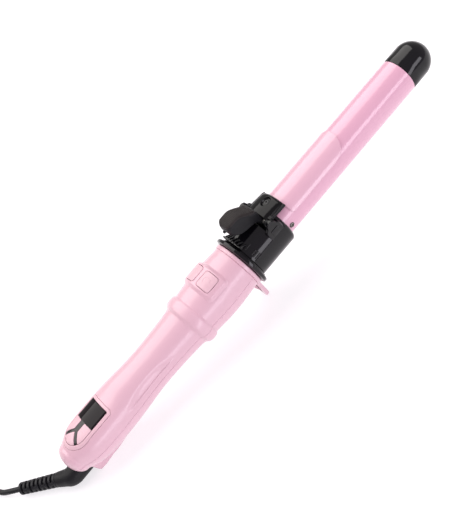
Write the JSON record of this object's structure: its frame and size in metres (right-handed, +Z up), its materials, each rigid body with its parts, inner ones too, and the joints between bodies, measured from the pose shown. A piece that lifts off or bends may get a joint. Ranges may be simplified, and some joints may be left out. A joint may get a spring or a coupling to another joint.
{
  "type": "automatic rotating curling iron",
  "caption": "Pink rotating curling iron with a coated barrel, sprung clamp and thumb lever, button pod, small display with keys, stand fin and swivel mains cord.",
  "frame": {"origin": "bottom centre of the box round the wand without its cord, on the surface it lies on", "axes": "+X from the cord end towards the barrel tip along the surface, +Z up; the wand lies on its stand fin and tail foot with its barrel rising 7.15 degrees"},
  "size_m": [0.5731, 0.0897, 0.0785],
  "materials": {
    "pink_shell": "satin gloss moulding",
    "pink_coating": "gloss ceramic coating on steel",
    "pink_tube_coating": "gloss ceramic coating on aluminium",
    "black_gloss": "gloss heat-resistant moulding",
    "black_matte": "fine matte moulding",
    "pad_rubber": "ribbed soft touch",
    "display_window": "smoked polished window",
    "steel": "plated",
    "aluminium_block": "as extruded",
    "brass_parts": "turned",
    "ceramic": "sintered",
    "boards": "solder mask",
    "electronics": "moulded",
    "cord_black": "flexible PVC, satin"
  },
  "bodies": {
    "handle": {"handle_top_shell": "pink_shell", "handle_bottom_shell": "pink_shell", "stand_collar": "pink_shell", "panel_bezel": "pink_shell", "display_fascia": "display_window", "lcd_module": "electronics", "control_board": "boards", "key_switch_power": "electronics", "key_switch_plus": "electronics", "key_switch_minus": "electronics", "rotate_switch_board": "boards", "rotate_switch_left": "electronics", "rotate_switch_right": "electronics", "bearing_bush": "brass_parts", "brush_block": "black_matte", "gearbox": "steel", "drive_motor": "steel", "cord_clamp": "black_matte", "handle_screw_front": "steel", "handle_screw_rear": "steel"},
    "barrel": {"barrel_tip_cap": "black_gloss", "barrel_tube": "pink_tube_coating", "heater_block_upper": "aluminium_block", "heater_block_lower": "aluminium_block", "ptc_heater": "ceramic", "thermistor": "ceramic", "thermal_fuse": "steel", "barrel_housing": "black_gloss", "housing_flange": "black_gloss", "hinge_pin": "steel", "barrel_screw": "steel", "drive_shaft": "steel", "drive_gear": "brass_parts", "slip_ring_drum": "brass_parts", "lever_bumper": "black_matte", "clamp_spring": "steel"},
    "clamp": {"clamp_plate": "pink_coating", "clamp_bracket": "black_gloss", "thumb_lever": "black_matte", "thumb_pad": "pad_rubber", "bracket_screw": "steel"},
    "rotate_left": {"rotate_left_button": "pink_shell"},
    "rotate_right": {"rotate_right_button": "pink_shell"},
    "power_key": {"power_button": "pink_shell"},
    "plus_key": {"plus_button": "pink_shell"},
    "minus_key": {"minus_button": "pink_shell"},
    "pinion": {"motor_pinion": "brass_parts"},
    "swivel": {"swivel_sleeve": "cord_black", "strain_relief_boot": "cord_black", "cord_lead": "cord_black", "cord_coil": "cord_black", "cord_tie": "cord_black", "plug_body": "cord_black", "plug_pin_1": "steel", "plug_pin_2": "steel"}
  },
  "joints": [
    {"name": "barrel_spin", "type": "hinge", "parent": "handle", "child": "barrel", "pos_m": [-0.00453, 0, 0.04018], "axis": [0.9922, 0, 0.1245], "continuous": true},
    {"name": "clamp_hinge", "type": "hinge", "parent": "barrel", "child": "clamp", "pos_m": [0.02433, 0, 0.05922], "axis": [0, -1, 0], "range_deg": [0, 13], "stiffness_Nm_per_rad": 0.5, "springref_deg": -17.19},
    {"name": "rotate_left_press", "type": "slide", "parent": "handle", "child": "rotate_left", "axis": [0.117, -0.342, -0.9324], "range_m": [0, 0.001], "stiffness_N_per_m": 600, "springref_m": -0.001},
    {"name": "rotate_right_press", "type": "slide", "parent": "handle", "child": "rotate_right", "axis": [0.117, 0.342, -0.9324], "range_m": [0, 0.001], "stiffness_N_per_m": 600, "springref_m": -0.001},
    {"name": "power_press", "type": "slide", "parent": "handle", "child": "power_key", "axis": [0.1245, 0, -0.9922], "range_m": [0, 0.0006], "stiffness_N_per_m": 800, "springref_m": -0.001},
    {"name": "plus_press", "type": "slide", "parent": "handle", "child": "plus_key", "axis": [0.1245, 0, -0.9922], "range_m": [0, 0.0006], "stiffness_N_per_m": 800, "springref_m": -0.001},
    {"name": "minus_press", "type": "slide", "parent": "handle", "child": "minus_key", "axis": [0.1245, 0, -0.9922], "range_m": [0, 0.0006], "stiffness_N_per_m": 800, "springref_m": -0.001},
    {"name": "pinion_spin", "type": "hinge", "parent": "handle", "child": "pinion", "pos_m": [-0.02642, 0, 0.02988], "axis": [0.9922, 0, 0.1245], "continuous": true},
    {"name": "cord_swivel", "type": "hinge", "parent": "handle", "child": "swivel", "pos_m": [-0.1669, 0, 0.00893], "axis": [-0.9922, 0, -0.1245], "continuous": true}
  ],
  "couplings": [
    {"joint": "pinion_spin", "follows": "barrel_spin", "ratio": -2.75}
  ]
}
